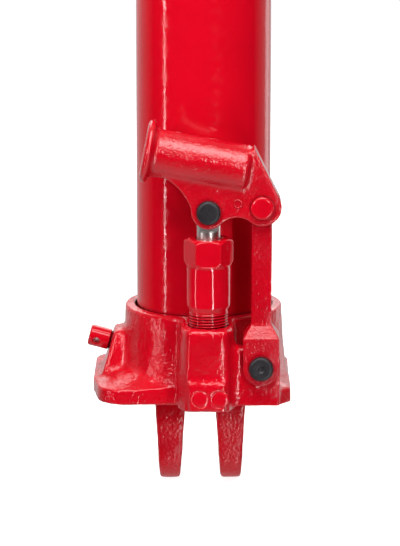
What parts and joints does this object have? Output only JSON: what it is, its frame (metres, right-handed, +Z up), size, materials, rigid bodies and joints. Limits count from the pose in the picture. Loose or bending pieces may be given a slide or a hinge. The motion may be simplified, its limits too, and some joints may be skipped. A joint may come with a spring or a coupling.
{
  "type": "telescopic hydraulic cylinder",
  "caption": "Two-stage telescopic long-ram hydraulic cylinder with a clevis base, a side hand pump with lever socket and link, a release valve and a swivelling eye head.",
  "frame": {"origin": "centre of the lower clevis pin bore", "axes": "+Z up the cylinder's axis towards the head eye, +X along the clevis pin, -Y towards the hand pump"},
  "size_m": [0.1163, 0.1243, 0.523],
  "materials": {
    "red_casting": "gloss enamel on sand-cast iron",
    "red_tube": "smooth gloss enamel",
    "red_nut": "smooth gloss enamel",
    "red_plugs": "enamel over screw plugs",
    "red_pump": "smooth gloss enamel",
    "red_spindle": "smooth gloss enamel",
    "red_eye": "gloss enamel on forged steel",
    "red_socket": "gloss enamel on sand-cast iron",
    "red_pin": "smooth gloss enamel",
    "red_link": "gloss enamel",
    "seal_rubber": "matt",
    "seal_plastic": "matt",
    "guide_plastic": "matt",
    "plug_rubber": "satin",
    "mesh_brass": "satin",
    "gland_brass": "turned",
    "honed_steel": "machined",
    "bearing_steel": "polished",
    "spring_steel": "satin",
    "black_oxide": "black oxide, oiled",
    "black_pin": "black oxide, oiled",
    "bright_plunger": "ground",
    "chrome_ram": "hard chrome, polished",
    "chrome_rod": "hard chrome, polished"
  },
  "bodies": {
    "base": {"base_casting": "red_casting", "reservoir_tube": "red_tube", "reservoir_bottom_seal": "seal_rubber", "reservoir_top_seal": "seal_rubber", "pressure_cylinder": "honed_steel", "cylinder_bottom_seal": "seal_plastic", "head_nut": "red_nut", "head_nut_seal": "seal_plastic", "head_nut_wiper": "seal_rubber", "filler_plug": "plug_rubber", "suction_strainer": "mesh_brass", "gallery_plugs": "red_plugs", "pump_body": "red_pump", "pump_body_gasket": "seal_plastic", "pump_gland_seal": "seal_rubber", "delivery_plug": "black_oxide", "overload_screw": "black_oxide", "delivery_spring": "spring_steel", "overload_spring": "spring_steel"},
    "first_stage": {"first_stage_tube": "chrome_ram", "first_stage_piston": "honed_steel", "first_stage_piston_seal": "seal_plastic", "first_stage_guide_ring": "guide_plastic", "first_stage_gland": "gland_brass", "gland_rod_seal": "seal_plastic", "gland_o_ring": "seal_rubber", "gland_wiper": "seal_rubber", "gland_snap_ring": "black_oxide"},
    "second_stage": {"second_stage_rod": "chrome_rod", "second_stage_piston": "honed_steel", "second_stage_piston_seal": "seal_plastic", "second_stage_guide_ring": "guide_plastic"},
    "head": {"head_eye": "red_eye", "head_eye_screws": "black_oxide"},
    "plunger": {"pump_plunger": "bright_plunger", "plunger_seal": "seal_rubber", "plunger_backup_ring": "seal_plastic"},
    "socket": {"handle_socket": "red_socket", "plunger_pin": "black_pin", "plunger_pin_clip": "black_oxide", "link_top_pin": "red_pin", "link_top_pin_clip": "black_oxide"},
    "link": {"link_arm": "red_link", "link_base_pin": "black_pin", "link_base_pin_clip": "black_oxide"},
    "release_slide": {"release_seal": "seal_rubber", "release_ball": "bearing_steel"},
    "release_screw": {"release_spindle": "red_spindle"},
    "suction_valve": {"suction_ball": "bearing_steel"},
    "delivery_valve": {"delivery_ball": "bearing_steel"},
    "overload_valve": {"overload_ball": "bearing_steel"}
  },
  "joints": [
    {"name": "first_stage_slide", "type": "slide", "parent": "base", "child": "first_stage", "axis": [0, 0, 1], "range_m": [0, 0.28]},
    {"name": "second_stage_slide", "type": "slide", "parent": "first_stage", "child": "second_stage", "axis": [0, 0, 1], "range_m": [0, 0.27]},
    {"name": "head_swivel", "type": "hinge", "parent": "second_stage", "child": "head", "pos_m": [0, 0, 0.463], "axis": [0, 0, 1], "continuous": true},
    {"name": "handle_swing", "type": "hinge", "parent": "plunger", "child": "socket", "pos_m": [0.0027, -0.057, 0.1535], "axis": [0, 1, 0], "range_deg": [-7.5, 30]},
    {"name": "plunger_slide", "type": "slide", "parent": "base", "child": "plunger", "axis": [0, 0, 1], "range_m": [-0.0039, 0.0156]},
    {"name": "link_swing", "type": "hinge", "parent": "socket", "child": "link", "pos_m": [0.0322, -0.057, 0.1561], "axis": [0, 1, 0], "range_deg": [-31.5, 8]},
    {"name": "release_turn", "type": "hinge", "parent": "release_slide", "child": "release_screw", "pos_m": [-0.0533, 0, 0.0665], "axis": [-0.9659, 0, 0.2588], "range_deg": [0, 270]},
    {"name": "release_advance", "type": "slide", "parent": "base", "child": "release_slide", "axis": [-0.9659, 0, 0.2588], "range_m": [0, 0.001]},
    {"name": "suction_ball_lift", "type": "slide", "parent": "base", "child": "suction_valve", "axis": [0, 0, 1], "range_m": [0, 0.0015]},
    {"name": "delivery_ball_lift", "type": "slide", "parent": "base", "child": "delivery_valve", "axis": [0, 0, -1], "range_m": [0, 0.0012], "stiffness_N_per_m": 600, "springref_m": -0.001, "deforming": ["delivery_spring"]},
    {"name": "overload_ball_lift", "type": "slide", "parent": "base", "child": "overload_valve", "axis": [0, 0, -1], "range_m": [0, 0.001], "stiffness_N_per_m": 2500, "springref_m": -0.002, "deforming": ["overload_spring"]}
  ],
  "couplings": [
    {"joint": "plunger_slide", "follows": "handle_swing", "m_per_rad": 0.02925},
    {"joint": "link_swing", "follows": "handle_swing", "ratio": -1.036},
    {"joint": "release_advance", "follows": "release_turn", "m_per_rad": 0.00019894}
  ]
}
